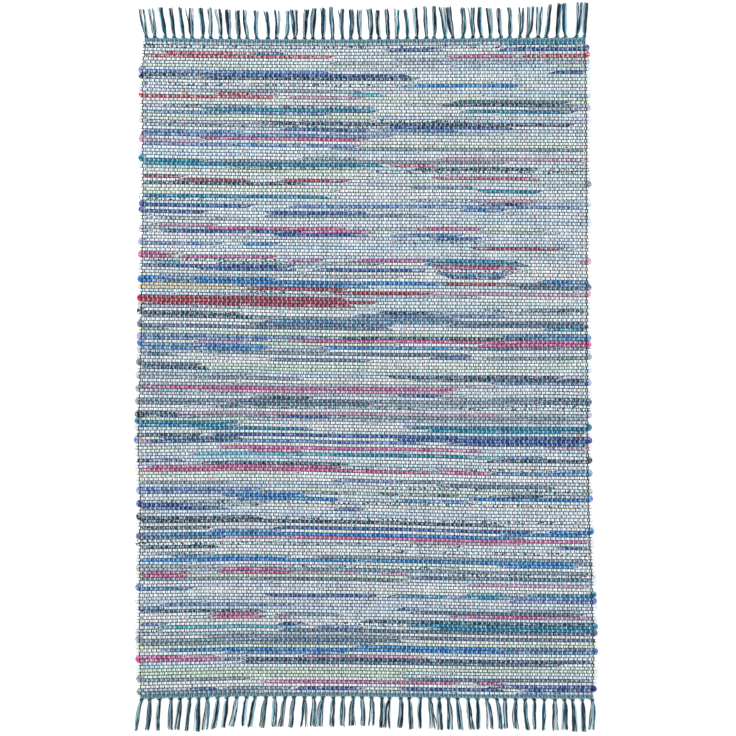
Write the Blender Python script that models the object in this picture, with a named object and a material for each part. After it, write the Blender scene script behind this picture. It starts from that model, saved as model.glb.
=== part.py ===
"""Rag rug: a flat hand-woven mat with ribs of cotton rag, looped edges and a knotted fringe at each end.

Metres, +Z up, lying on the floor at Z = 0. The origin is the middle of the underside. The rag rows run
along X, and the cotton warp, whose ends are the fringe, runs along Y. Far is +Y and near is -Y.
"""

import math
import random

import bmesh
import bpy

# The weave
RAG_ROWS = 204
ROW_PITCH = 0.00844
ROWS_PER_LOOP = 2
LOOP_DEPTH = 0.0130
NOTCH_DEPTH = 0.0055
LOOP_ROUND = 0.0075
RIB_CREST_HEIGHT = 0.0064
RIB_VALLEY_HEIGHT = 0.0039
RIB_LUMP = 0.0004
ROW_WAVE = 0.0012
ROW_DRIFT = 0.0115
ROW_HOLD = 0.12

# The whole rug
WIDEST = 1.226
OVERALL_LENGTH = 1.924
WOVEN_MIDDLE_Y = -0.0025
PIECE_GAP = 0.0003

# The fringe at each end
TASSELS = 48
HEADER_DEPTH = 0.0058
HEADER_HEIGHT = 0.0046
TASSEL_SHIFT = 0.0016
LEAN_STEP = 0.0090
LEAN_CHANCE = 0.0025
LENGTH_CHANCE = 0.0060
LOCK_WIDTH = 0.0044
LOCK_GAP = 0.0010

# How far each long edge lies inside the widest outline: share of the length from the near end, left, right
EDGE_INSETS = (
    (0.00, 0.0080, 0.0040),
    (0.07, 0.0040, 0.0000),
    (0.21, 0.0045, 0.0080),
    (0.30, 0.0065, 0.0145),
    (0.38, 0.0000, 0.0160),
    (0.53, 0.0080, 0.0185),
    (0.75, 0.0130, 0.0185),
    (0.96, 0.0125, 0.0210),
    (1.00, 0.0200, 0.0250),
)

# How far the woven ends bow inwards: X, far end, near end
END_BOWS = (
    (-0.620, 0.0000, 0.0000),
    (-0.330, 0.0040, 0.0070),
    (-0.050, 0.0050, 0.0065),
    (0.300, 0.0020, 0.0015),
    (0.620, 0.0000, 0.0000),
)

# One rib's section: share of the row pitch, share of the way from valley to crest
RIB_SECTION = (
    (0.00, 0.0),
    (0.24, 1.0),
    (0.76, 1.0),
)

# A knot's stations from the header outwards: distance, half width, height at its sides, height at its middle
KNOT_STATIONS = (
    (0.0035, 0.0062, 0.0048, 0.0068),
    (0.0095, 0.0049, 0.0040, 0.0046),
)

# A lock's stations from the knot to its tip: share of its length, share of LOCK_WIDTH, height
LOCK_STATIONS = (
    (0.28, 1.00, 0.0042),
    (0.64, 1.04, 0.0039),
    (1.00, 0.78, 0.0030),
)

# The tassels, by share of the width from the left: how far the tip lies to the right of its knot and how
# far it reaches past the header, at the far end and then at the near end
TASSEL_TABLE = (
    (0.00, -0.0110, 0.074, -0.0110, 0.086),
    (0.05, -0.0120, 0.082, -0.0060, 0.084),
    (0.14, -0.0030, 0.081, -0.0075, 0.090),
    (0.20, -0.0040, 0.078, -0.0130, 0.080),
    (0.29, -0.0020, 0.075, -0.0080, 0.081),
    (0.42, 0.0000, 0.085, -0.0060, 0.081),
    (0.51, 0.0010, 0.079, 0.0020, 0.077),
    (0.57, -0.0040, 0.078, -0.0020, 0.083),
    (0.68, -0.0070, 0.086, 0.0040, 0.084),
    (0.79, -0.0050, 0.080, 0.0080, 0.082),
    (0.88, 0.0100, 0.083, 0.0010, 0.083),
    (0.96, 0.0040, 0.095, 0.0040, 0.086),
    (1.00, 0.0040, 0.094, 0.0010, 0.084),
)
# The tassel with the longest lock, counted from the left, at the far end and at the near end
LONGEST = (46, 7)

HALF_WOVEN = RAG_ROWS * ROW_PITCH / 2
LINES = RAG_ROWS * len(RIB_SECTION)
FAR, NEAR = 1, -1
SEED = 41


def between(table, at, column):
    """The value in that column of a table, on straight lines between its rows."""
    for low, high in zip(table, table[1:]):
        if at <= high[0]:
            share = max(0.0, (at - low[0]) / (high[0] - low[0]))
            return low[column] + (high[column] - low[column]) * share
    return table[-1][column]


def woven_end(x, side):
    """Y of the end of the rag rows at that X."""
    return WOVEN_MIDDLE_Y + side * (HALF_WOVEN - between(END_BOWS, x, 1 if side == FAR else 2))


def row_wave(x, share):
    """How far the rows wander along Y, and drift down to the right, with the two ends held straight."""
    held = min(1.0, share / ROW_HOLD, (1 - share) / ROW_HOLD)
    held = held * held * (3 - 2 * held)
    waves = math.sin(5.1 * x + 9 * share) + math.sin(21 * share - 3.4 * x)
    return ROW_WAVE * math.sin(math.pi * share) * waves - ROW_DRIFT * held * x / WIDEST


def loop_bulge(line, side):
    """How far a rag loop reaches out at this line of the ribs: 0 between two loops, 1 at the middle."""
    first = 0 if side < 0 else 1
    at = (line / len(RIB_SECTION) + first) / ROWS_PER_LOOP % 1.0
    return 1.0 - abs(2 * at - 1) ** 3


def inside_edge(line, side, depth):
    """X that far inside the outermost points of the rag loops, left with side -1 and right with side 1."""
    return side * (WIDEST / 2 - between(EDGE_INSETS, line / LINES, 1 if side < 0 else 2) - depth)


def cloth_columns(line):
    """X of each column of points across the cloth: the edges, the tops of their rounds, and those between."""
    left, right = (inside_edge(line, side, NOTCH_DEPTH * (1 - loop_bulge(line, side))) for side in (-1, 1))
    inner_left, inner_right = (inside_edge(line, side, LOOP_ROUND) for side in (-1, 1))
    return [left, inner_left, *(bow[0] for bow in END_BOWS[1:-1]), inner_right, right]


def new_object(name, bm, collection, colour, roughness):
    """An object of that mesh with its own material, and all faces turned outwards."""
    bmesh.ops.recalc_face_normals(bm, faces=bm.faces)
    mesh = bpy.data.meshes.new(name)
    bm.to_mesh(mesh)
    bm.free()
    material = bpy.data.materials.new(name)
    material.use_nodes = True
    shader = material.node_tree.nodes["Principled BSDF"]
    shader.inputs["Base Color"].default_value = (*colour, 1.0)
    shader.inputs["Roughness"].default_value = roughness
    shader.inputs["Metallic"].default_value = 0.0
    mesh.materials.append(material)
    made = bpy.data.objects.new(name, mesh)
    collection.objects.link(made)
    return made


def make_cloth(collection):
    """The woven mat: a flat underside, and a rib on top for each row of rag, with the loops at its edges."""
    chance = random.Random(SEED)
    columns = len(cloth_columns(0)) - 1
    lumps = [[chance.uniform(-1, 1) for _ in range(RAG_ROWS + 1)] for _ in range(columns + 1)]
    bm = bmesh.new()
    bmesh.ops.create_grid(bm, x_segments=columns, y_segments=LINES, size=0.5)
    place = {v: (round((v.co.x + 0.5) * columns), round((v.co.y + 0.5) * LINES)) for v in bm.verts}
    for vert, (column, line) in place.items():
        row, point = divmod(line, len(RIB_SECTION))
        across, rise = RIB_SECTION[point]
        share = (row + across) / RAG_ROWS
        x = cloth_columns(line)[column]
        near, far = woven_end(x, NEAR), woven_end(x, FAR)
        crest = RIB_CREST_HEIGHT + RIB_LUMP * lumps[column][row]
        vert.co.x = x
        vert.co.y = near + (far - near) * share + row_wave(x, share)
        vert.co.z = RIB_VALLEY_HEIGHT + (crest - RIB_VALLEY_HEIGHT) * rise
        if column in (0, columns):
            vert.co.z = 0.0
    top = set(bm.verts)
    bmesh.ops.extrude_face_region(bm, geom=list(bm.faces), use_keep_orig=True)
    for vert in bm.verts:
        if vert not in top:
            vert.co.z = 0.0
    bmesh.ops.remove_doubles(bm, verts=bm.verts, dist=1e-6)
    return new_object("cloth", bm, collection, (0.52, 0.62, 0.68), 0.92)


def tassel_leans(side, chance):
    """How far each tassel's tip lies to one side, with neighbours kept clear of each other."""
    leans = []
    for tassel in range(TASSELS):
        share = tassel / (TASSELS - 1)
        lean = between(TASSEL_TABLE, share, 1 if side == FAR else 3) + chance.uniform(-1, 1) * LEAN_CHANCE
        if leans:
            lean = min(max(lean, leans[-1] - LEAN_STEP), leans[-1] + LEAN_STEP)
        leans.append(lean)
    return leans


def set_corners(face, front, left, right, height):
    """Moves a four-cornered face to the plane y = front, between left and right, up to that height."""
    middle_x = face.calc_center_median().x
    middle_z = face.calc_center_median().z
    for vert in face.verts:
        vert.co = (left if vert.co.x < middle_x else right, front, 0.0 if vert.co.z < middle_z else height)


def grow_lock(bm, face, side, root_y, length, half_offset, x_knot, lean, bend):
    """Grows one lock of the fringe from its root face on the knot."""
    direction = math.copysign(1.0, half_offset)
    for share, width_share, height in LOCK_STATIONS:
        face = bmesh.ops.extrude_discrete_faces(bm, faces=[face])["faces"][0]
        middle = x_knot + half_offset + lean * share + direction * LOCK_GAP * share
        middle += bend * math.sin(math.pi * share)
        half = LOCK_WIDTH * width_share / 2
        set_corners(face, root_y + side * length * share, middle - half, middle + half, height)


def make_fringe(name, side, collection):
    """A header strip along the end of the cloth, with its knots and two locks of yarn from each knot."""
    chance = random.Random(SEED + side)
    line = LINES if side == FAR else 0
    left, right = (inside_edge(line, end, LOOP_DEPTH / 2) for end in (-1, 1))
    first, last = (inside_edge(line, end, LOOP_DEPTH) for end in (-1, 1))
    pitch = (last - first) / (TASSELS - 1)
    leans = tassel_leans(side, chance)
    middles = [first + tassel * pitch + chance.uniform(-1, 1) * TASSEL_SHIFT for tassel in range(TASSELS)]
    root_half = LOCK_WIDTH + LOCK_GAP / 2
    edges = [left]
    for middle in middles:
        edges += [middle - root_half, middle - LOCK_GAP / 2, middle + LOCK_GAP / 2, middle + root_half]
    edges.append(right)

    cells = len(edges) - 1
    bm = bmesh.new()
    bmesh.ops.create_grid(bm, x_segments=cells, y_segments=1, size=0.5)
    for vert in bm.verts:
        vert.co.z = 0.0 if vert.co.y < 0 else HEADER_HEIGHT
        vert.co.x = edges[round((vert.co.x + 0.5) * cells)]
        vert.co.y = woven_end(vert.co.x, side) + side * (PIECE_GAP + HEADER_DEPTH)
    outer = sorted(bm.faces, key=lambda face: face.calc_center_median().x)
    front = set(bm.verts)
    bmesh.ops.extrude_face_region(bm, geom=list(bm.faces), use_keep_orig=True)
    for vert in bm.verts:
        if vert not in front:
            vert.co.y -= side * HEADER_DEPTH

    for tassel, middle in enumerate(middles):
        faces = outer[4 * tassel + 1 : 4 * tassel + 4]
        base = woven_end(middle, side) + side * (PIECE_GAP + HEADER_DEPTH)
        for distance, half, side_height, middle_height in KNOT_STATIONS:
            grown = bmesh.ops.extrude_face_region(bm, geom=faces)["geom"]
            bmesh.ops.delete(bm, geom=[f for f in faces if f.is_valid], context="FACES_ONLY")
            faces = [g for g in grown if isinstance(g, bmesh.types.BMFace)]
            faces.sort(key=lambda face: face.calc_center_median().x)
            across = sorted({round(v.co.x, 7) for f in faces for v in f.verts})
            places = (-half, -LOCK_GAP / 2, LOCK_GAP / 2, half)
            for vert in {v for f in faces for v in f.verts}:
                column = across.index(round(vert.co.x, 7))
                tall = side_height if column in (0, 3) else middle_height
                vert.co.x = middle + places[column]
                vert.co.y = base + side * distance
                vert.co.z = 0.0 if vert.co.z < HEADER_HEIGHT / 4 else tall
        root_y = base + side * KNOT_STATIONS[-1][0]
        bend = chance.uniform(-0.0015, 0.0015)
        for half_offset, face in ((-root_half / 2, faces[0]), (root_half / 2, faces[2])):
            reach = between(TASSEL_TABLE, tassel / (TASSELS - 1), 2 if side == FAR else 4)
            length = reach - KNOT_STATIONS[-1][0] - chance.uniform(0, 1) * LENGTH_CHANCE
            if tassel == LONGEST[0 if side == FAR else 1]:
                length = OVERALL_LENGTH / 2 - abs(root_y)
            grow_lock(bm, face, side, root_y, length, half_offset, middle, leans[tassel], bend)
    return new_object(name, bm, collection, (0.12, 0.30, 0.34), 0.9)


def main():
    for old in list(bpy.data.objects):
        bpy.data.objects.remove(old)
    rug = bpy.data.collections.new("rag_rug")
    bpy.context.scene.collection.children.link(rug)
    make_cloth(rug)
    make_fringe("fringe_far", FAR, rug)
    make_fringe("fringe_near", NEAR, rug)


main()
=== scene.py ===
"""Rag rug: rows of cotton rag, the warp yarns over them, and the knotted fringe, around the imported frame.

Metres, +Z up, the rug lying on the floor. The rows of rag run along X and are counted from the near end
(-Y), and the warp yarns run along Y and are counted from the left (-X).
"""

import math
import random

import bpy
import numpy as np
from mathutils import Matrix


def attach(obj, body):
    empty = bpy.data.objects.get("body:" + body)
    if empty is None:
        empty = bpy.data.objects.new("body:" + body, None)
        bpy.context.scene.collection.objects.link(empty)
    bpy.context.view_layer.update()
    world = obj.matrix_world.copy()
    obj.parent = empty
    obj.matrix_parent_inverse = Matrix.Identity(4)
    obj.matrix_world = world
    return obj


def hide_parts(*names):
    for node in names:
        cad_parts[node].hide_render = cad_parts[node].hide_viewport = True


bl_info = {
    "name": "Rag Rug",
    "version": (1, 0, 0),
    "blender": (4, 5, 0),
    "location": "View3D > Sidebar > Rag Rug",
    "description": "A hand-woven rag rug with looped edges and a knotted fringe",
    "category": "Add Mesh",
}

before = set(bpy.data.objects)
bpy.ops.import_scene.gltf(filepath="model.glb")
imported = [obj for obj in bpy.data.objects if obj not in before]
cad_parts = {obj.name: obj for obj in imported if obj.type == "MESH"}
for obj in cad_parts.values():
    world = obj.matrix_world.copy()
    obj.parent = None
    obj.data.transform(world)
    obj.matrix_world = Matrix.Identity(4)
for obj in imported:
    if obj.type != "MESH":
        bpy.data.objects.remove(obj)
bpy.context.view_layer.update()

LEFT, RIGHT = -1, 1
FAR, NEAR = 1, -1

# The weave, with the same names and sizes as the solids
RAG_ROWS = 204
ROW_PITCH = 0.00844
LOOP_DEPTH = 0.0130
WIDEST = 1.226
WOVEN_MIDDLE_Y = -0.0025
ROW_WAVE = 0.0012
ROW_DRIFT = 0.0115
ROW_HOLD = 0.12
ROW_WANDER = 0.0011
HALF_WOVEN = RAG_ROWS * ROW_PITCH / 2
HEADER_DEPTH = 0.0058
PIECE_GAP = 0.0003

# The warp: one repeat of six yarns, from the left
WARP_ENDS = 576
WARP_REPEAT = ("navy", "mint", "mint", "black", "teal", "teal")
YARN_BULK = {"navy": 1.45, "mint": 0.88, "black": 1.45, "teal": 0.85}
PLY_MARKS = 850.0
TASSELS = 48
YARNS_PER_TASSEL = WARP_ENDS // TASSELS

# How far each long edge lies inside the widest outline: share of the length from the near end, left, right
EDGE_INSETS = (
    (0.00, 0.0080, 0.0040),
    (0.07, 0.0040, 0.0000),
    (0.21, 0.0045, 0.0080),
    (0.30, 0.0065, 0.0145),
    (0.38, 0.0000, 0.0160),
    (0.53, 0.0080, 0.0185),
    (0.75, 0.0130, 0.0185),
    (0.96, 0.0125, 0.0210),
    (1.00, 0.0200, 0.0250),
)

# How far the woven ends bow inwards: X, far end, near end
END_BOWS = (
    (-0.620, 0.0000, 0.0000),
    (-0.330, 0.0040, 0.0070),
    (-0.050, 0.0050, 0.0065),
    (0.300, 0.0020, 0.0015),
    (0.620, 0.0000, 0.0000),
)

# The tassels, by share of the width from the left: how far the tip lies to the right of its knot and how
# far it reaches past the header, at the far end and then at the near end
TASSEL_TABLE = (
    (0.00, -0.0110, 0.074, -0.0110, 0.086),
    (0.05, -0.0120, 0.082, -0.0060, 0.084),
    (0.14, -0.0030, 0.081, -0.0075, 0.090),
    (0.20, -0.0040, 0.078, -0.0130, 0.080),
    (0.29, -0.0020, 0.075, -0.0080, 0.081),
    (0.42, 0.0000, 0.085, -0.0060, 0.081),
    (0.51, 0.0010, 0.079, 0.0020, 0.077),
    (0.57, -0.0040, 0.078, -0.0020, 0.083),
    (0.68, -0.0070, 0.086, 0.0040, 0.084),
    (0.79, -0.0050, 0.080, 0.0080, 0.082),
    (0.88, 0.0100, 0.083, 0.0010, 0.083),
    (0.96, 0.0040, 0.095, 0.0040, 0.086),
    (1.00, 0.0040, 0.094, 0.0010, 0.084),
)

# How a cloth is printed
PLAIN, PEBBLE, STRIPE, TWILL, SPECKLE, SPOTTED = 0, 1, 2, 3, 4, 5

# The cloths that the rags were torn from: face colour, second colour, print, and how often it turns up
# where no streak is named
CLOTHS = {
    "white": ((0.97, 0.97, 0.985), (0.91, 0.935, 0.965), PLAIN, 34),
    "cream": ((0.96, 0.95, 0.94), (0.95, 0.66, 0.50), SPOTTED, 10),
    "frost": ((0.90, 0.94, 0.95), (0.97, 0.975, 0.98), PLAIN, 14),
    "pale_blue": ((0.80, 0.88, 0.95), (0.95, 0.98, 0.99), TWILL, 10),
    "lavender": ((0.83, 0.85, 0.94), (0.96, 0.97, 0.99), TWILL, 8),
    "pale_green": ((0.88, 0.94, 0.84), (0.97, 0.98, 0.94), PLAIN, 6),
    "grey_print": ((0.86, 0.88, 0.92), (0.34, 0.37, 0.46), STRIPE, 10),
    "light_speckle": ((0.95, 0.97, 0.98), (0.20, 0.28, 0.38), SPECKLE, 10),
    "pebble": ((0.09, 0.10, 0.17), (0.93, 0.93, 0.95), PEBBLE, 2),
    "multi": ((0.80, 0.86, 0.90), (0.38, 0.34, 0.32), SPECKLE, 2),
    "royal": ((0.18, 0.25, 0.58), (0.58, 0.66, 0.86), TWILL, 1),
    "cobalt": ((0.10, 0.45, 0.79), (0.50, 0.76, 0.95), TWILL, 0),
    "sky": ((0.29, 0.49, 0.74), (0.72, 0.83, 0.93), TWILL, 2),
    "teal": ((0.07, 0.48, 0.63), (0.42, 0.76, 0.85), PLAIN, 0),
    "turquoise": ((0.34, 0.72, 0.80), (0.74, 0.91, 0.95), PLAIN, 1),
    "periwinkle": ((0.41, 0.50, 0.75), (0.81, 0.86, 0.94), TWILL, 2),
    "crimson": ((0.66, 0.08, 0.16), (0.84, 0.36, 0.40), PLAIN, 0),
    "red_print": ((0.78, 0.20, 0.27), (0.94, 0.76, 0.74), SPECKLE, 0),
    "magenta": ((0.83, 0.31, 0.56), (0.96, 0.72, 0.86), PLAIN, 0),
    "pink": ((0.84, 0.61, 0.72), (0.92, 0.82, 0.90), PLAIN, 1),
    "slate": ((0.29, 0.34, 0.45), (0.68, 0.72, 0.82), STRIPE, 1),
    "slate_light": ((0.45, 0.50, 0.57), (0.80, 0.85, 0.88), STRIPE, 4),
    "dark_print": ((0.13, 0.16, 0.26), (0.84, 0.88, 0.94), PEBBLE, 3),
    "beige": ((0.90, 0.83, 0.70), (0.95, 0.93, 0.88), PLAIN, 0),
}

# Streaks of one cloth in one row, by cloth: where each starts and ends from the left and how far it lies
# down from the far edge of the picture, in steps of READ_STEP
READ_STEP = 0.00263
READ_MIDDLE = (366.0, 367.2)
STREAKS = {
    "red_print": (
        (166, 218, 52), (142, 258, 55), (255, 332, 57), (520, 596, 56), (215, 265, 94), (140, 275, 96),
        (218, 248, 52),
    ),
    "crimson": (
        (142, 182, 177), (180, 250, 179), (280, 348, 181), (246, 345, 289), (330, 430, 292),
        (136, 345, 298), (136, 376, 301), (137, 352, 304),
    ),
    "magenta": (
        (200, 366, 139), (205, 342, 228), (300, 372, 231), (137, 178, 254), (182, 275, 255),
        (288, 322, 259), (350, 425, 262), (290, 598, 341), (480, 598, 345), (136, 456, 390),
        (220, 482, 449), (135, 430, 468), (547, 588, 450), (438, 492, 473), (270, 598, 540),
        (140, 192, 573), (218, 292, 572), (142, 186, 576), (222, 285, 570), (212, 258, 615),
        (384, 404, 574), (208, 262, 617), (450, 598, 618), (135, 190, 660), (135, 182, 657),
        (184, 242, 658), (262, 455, 681), (475, 502, 683), (258, 300, 654), (248, 300, 449),
        (140, 172, 257), (150, 340, 466), (282, 327, 536),
    ),
    "pink": (
        (137, 202, 140), (430, 590, 293), (155, 215, 224), (194, 246, 341), (290, 330, 573),
        (225, 292, 537), (300, 425, 656), (182, 216, 655), (410, 520, 543), (578, 598, 262), (250, 275, 95),
        (292, 362, 98), (470, 590, 586), (137, 152, 442), (274, 292, 616), (340, 356, 574), (555, 596, 294),
        (200, 452, 393), (440, 470, 470), (550, 588, 447),
    ),
    "royal": (
        (500, 596, 50), (385, 442, 51), (250, 284, 53), (200, 408, 74), (553, 596, 73), (284, 372, 131),
        (138, 252, 207), (268, 368, 212), (162, 248, 231), (274, 366, 235), (318, 424, 270),
        (137, 290, 267), (135, 226, 509), (137, 200, 506), (336, 362, 508), (318, 372, 441),
        (395, 598, 442), (450, 598, 445), (150, 242, 442), (280, 345, 418), (398, 438, 397),
        (558, 598, 550), (188, 216, 688), (296, 362, 688), (400, 500, 689), (490, 598, 687),
        (518, 598, 690), (278, 306, 625), (400, 420, 608), (268, 377, 594), (160, 196, 415),
        (140, 205, 210), (200, 290, 270), (250, 300, 231),
    ),
    "cobalt": (
        (137, 164, 278), (188, 276, 280), (272, 442, 283), (322, 468, 347), (188, 268, 346),
        (538, 598, 282), (222, 305, 494), (240, 340, 497), (137, 510, 533), (137, 192, 536),
        (137, 300, 559), (358, 504, 562), (500, 578, 564), (500, 578, 567), (357, 500, 647),
        (504, 598, 535), (297, 356, 560), (228, 342, 648), (338, 532, 650), (162, 252, 649),
        (243, 278, 243), (234, 276, 146), (470, 596, 501), (137, 160, 281), (190, 272, 283),
        (440, 470, 501), (548, 598, 532),
    ),
    "sky": (
        (162, 192, 279), (138, 192, 344), (228, 345, 651), (396, 442, 500), (205, 330, 71), (138, 240, 131),
        (528, 598, 652), (560, 598, 286), (137, 192, 590), (165, 222, 245), (140, 190, 348),
        (280, 366, 285), (190, 262, 349), (212, 280, 530), (175, 290, 556),
    ),
    "teal": (
        (205, 312, 110), (258, 376, 112), (138, 380, 164), (138, 205, 161), (137, 326, 197),
        (137, 238, 423), (137, 238, 426), (200, 312, 427), (415, 598, 427), (405, 598, 430),
        (430, 598, 433), (330, 482, 456), (462, 506, 597), (527, 598, 597), (444, 598, 629),
        (408, 520, 626), (392, 445, 597), (500, 598, 43), (545, 598, 331), (430, 598, 631),
    ),
    "turquoise": (
        (154, 184, 261), (328, 344, 565), (348, 382, 94), (160, 300, 628), (196, 332, 454), (478, 502, 458),
        (466, 506, 594),
    ),
    "periwinkle": (
        (138, 188, 133), (138, 182, 242), (336, 402, 481), (160, 292, 604), (137, 164, 607), (138, 210, 72),
        (430, 472, 358), (200, 272, 604), (518, 560, 694), (137, 166, 626), (318, 362, 626),
    ),
    "slate": (
        (448, 598, 324), (448, 598, 327), (250, 392, 326), (250, 392, 329), (137, 270, 325),
        (230, 372, 400), (230, 372, 403), (438, 552, 486), (400, 442, 483), (330, 470, 355),
        (462, 598, 348), (137, 172, 354), (137, 402, 580), (410, 598, 578), (250, 402, 639),
        (400, 598, 641), (410, 582, 613), (240, 560, 662), (408, 598, 681), (270, 370, 360),
        (215, 282, 405), (540, 596, 403), (160, 240, 438),
    ),
    "slate_light": (
        (138, 232, 483), (200, 332, 354), (137, 202, 402), (198, 302, 379), (144, 252, 578),
        (137, 252, 639), (200, 362, 90), (165, 236, 610), (278, 342, 613), (137, 262, 692), (560, 598, 349),
        (137, 250, 678), (225, 290, 688),
    ),
    "dark_print": (
        (137, 242, 313), (137, 262, 316), (378, 442, 313), (528, 598, 312), (390, 472, 376),
        (440, 532, 379), (528, 598, 382), (137, 262, 519), (137, 262, 522), (330, 502, 524),
        (258, 332, 521), (137, 182, 461), (200, 346, 463), (488, 598, 463), (224, 598, 659),
        (137, 216, 546), (137, 262, 612), (142, 206, 366), (137, 202, 436), (254, 312, 397),
        (540, 596, 399), (138, 302, 182), (472, 560, 376),
    ),
    "multi": (
        (144, 202, 78), (140, 372, 105), (160, 382, 126), (228, 366, 167), (298, 352, 158), (220, 382, 264),
        (338, 384, 495), (398, 432, 494), (458, 492, 495), (508, 592, 495), (258, 392, 543),
        (150, 212, 552), (240, 460, 409), (448, 492, 400), (150, 252, 218),
    ),
    "pale_green": (
        (137, 400, 65), (560, 598, 65), (137, 376, 115), (144, 372, 171), (137, 262, 332), (248, 502, 336),
        (137, 182, 450), (137, 402, 669), (300, 598, 672), (137, 402, 672), (553, 598, 363),
        (200, 600, 368),
    ),
    "beige": (
        (137, 188, 285), (186, 234, 286), (137, 188, 288), (186, 250, 289),
    ),
}

# Where more streaks fall by chance, read as the streaks are: a patch's middle and its reach. Then how many
# there are in a row on average, and their shortest and longest
CHANCE_PATCH = (480, 170, 120)
CHANCE_STREAKS = 0.5
CHANCE_LENGTHS = (35, 150)

# The weft's path: points to a row and to a turn, parts of one step in which a change of cloth is placed,
# and how far a strip of rag overlaps the next one, in steps
ROW_STEPS = 34
TURN_STEPS = 6
STEP_PARTS = 8
OVERLAP = 0.3

# How long a strip of ground cloth is, the share of turns at the edges that show a white rag, and how far
# from its tip a strip still shows more of its pale back
GROUND_LENGTHS = (0.14, 1.3)
WHITE_TURNS = 0.15
TIP_REACH = 0.09

# The share of the fringe's yarns that stray from their tassel
STRAY_YARNS = 0.07

# How fine the hairs of the cotton are
HAIRS_PER_METRE = 2600.0

# How many cells a smooth random surface has along each side, after which it repeats
NOISE_CELLS = 80

# The loops at the long edges: how full the rag is there, how much of its reach may be missing, and the
# powers that round a loop's end and flatten its sides
LOOP_FULLNESS = (0.92, 1.04)
LOOP_SHORT = 0.0016
LOOP_ROUNDING = 0.45
LOOP_FLATTENING = 0.8

# The least space between two points of a strip, in steps
STRIP_SPACE = 0.05

# How a row of rag varies: share of its height and width, and the length of a lump. Then the share of its
# room that it fills, its least width and height at a tip, and how much brighter or darker a strip is
HEIGHT_LUMPS, HEIGHT_LUMP_LENGTH = 0.07, 0.06
WIDTH_LUMPS, WIDTH_LUMP_LENGTH = 0.07, 0.045
RAG_FILL = 0.97
TIP_WIDTH = 0.06
TIP_HEIGHT = 0.6
STRIP_FADES = (0.93, 1.04)

# A run of yarn over a row: how far its sides lie below its crown, how high its ends are as a share of the
# rag's height, how narrow they are, and where it bends and ends as shares of the row's pitch
YARN_ROUND = 0.0004
YARN_FOOT = 0.36
YARN_TAPER = 0.9
YARN_SHOULDER = 0.30
YARN_TIP = 0.52

# How the runs of yarn vary: in place one by one and together, in lean and in bulk, and how far the dark
# yarn at an edge zigzags and how bulky it is
RUN_JITTER = 0.00027
RUN_WANDER = 0.00055
RUN_LEAN = 0.06
RUN_BULK = 0.12
EDGE_ZIGZAG = 0.0009
EDGE_BULK = 2.0

# The pieces that the warp is made in: name, first row, and the row after the last
WARP_PIECES = (("near", 0, 68), ("middle", 68, 136), ("far", 136, RAG_ROWS))

# The header: how far out and how high each twisted pick lies, how far it goes past the warp and in how
# many points, the radius and length of its twist, and the thickness and shades of its two plies
HEADER_PICKS = ((0.0014, 0.0028), (0.0042, 0.0030), (0.0070, 0.0032))
HEADER_PAST = 0.002
HEADER_STEPS = 60
PICK_RADIUS = 0.0010
PICK_TURN = 0.0095
PICK_THICKNESS = 0.00115
PICK_SHADES = (1.0, 0.5)
POINTS_PER_TURN = 6

# How tassels vary: in place, lean, bend, reach, spread, tone and parting in two
TASSEL_SHIFT = 0.003
TASSEL_LEAN = 0.0055
TASSEL_BEND = 0.003
TASSEL_CUTS = (-0.002, 0.003)
TASSEL_SPREADS = (0.0026, 0.0070)
TASSEL_TONES = (0.8, 1.2)
PARTINGS = (0.0, 0.0, 0.0, 0.0022)

# How the yarns of one tassel vary: how mixed their colours are, and in length, wiggle, straying and tint.
# Then how thick a loose yarn is against a woven one, the share of its reach at each of its points, and how
# thick its end is. A yarn lies in one of three layers, and its place at the tips is partly a new one
COLOUR_MIXING = 0.35
YARN_LENGTHS = (-0.001, 0.004)
YARN_WIGGLES = (0.0004, 0.0013)
YARN_STRAYING = 0.009
YARN_TINTS = (0.55, 1.15)
LOOSE_BULK = 1.1
LOOSE_SHARES = (0.26, 0.42, 0.58, 0.74, 0.88, 1.0)
LOOSE_END = 0.85
LAYER_LOWEST, LAYER_SPACE = 0.0009, 0.0013
TIP_SORTING = 0.25

# How a tassel fans out: its half width below the knot, then how much of its spread comes soon, how soon
# that is, and how much comes evenly
FAN_START = 0.0040
FAN_SOON, FAN_HASTE, FAN_EVENLY = 0.34, 2.5, 0.3

# The knot: turns of yarn, steps to a turn and how far round it goes, how far out the first turn lies and
# the next one from it, how far a turn tilts, its half width and half height, its middle's height, its bulk,
# its share of the tassel's lean, and the yarns that it is tied with
KNOT_TURNS, KNOT_STEPS, KNOT_ROUND = 2, 12, 1.15
KNOT_OUT, KNOT_SPACE, KNOT_TILT = 0.0052, 0.0026, 0.003
KNOT_HALF_WIDTH, KNOT_HALF_HEIGHT, KNOT_MIDDLE = 0.0046, 0.0024, 0.0032
KNOT_BULK, KNOT_LEAN = 1.35, 0.05
KNOT_YARNS = ("teal", "teal", "navy", "black")

# Where noise is drawn out along the rags: cells to a metre along X, Y and Z
FADED_CELLS = (34.0, 120.0, 120.0)
STRIPE_CELLS = (110.0, 1100.0, 1100.0)
TWIST_CELLS = (30.0, 190.0, 190.0)
FOLD_CELLS = (22.0, 620.0, 620.0)
LOOSE_CELLS = (18.0, 120.0, 0.0)

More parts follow.
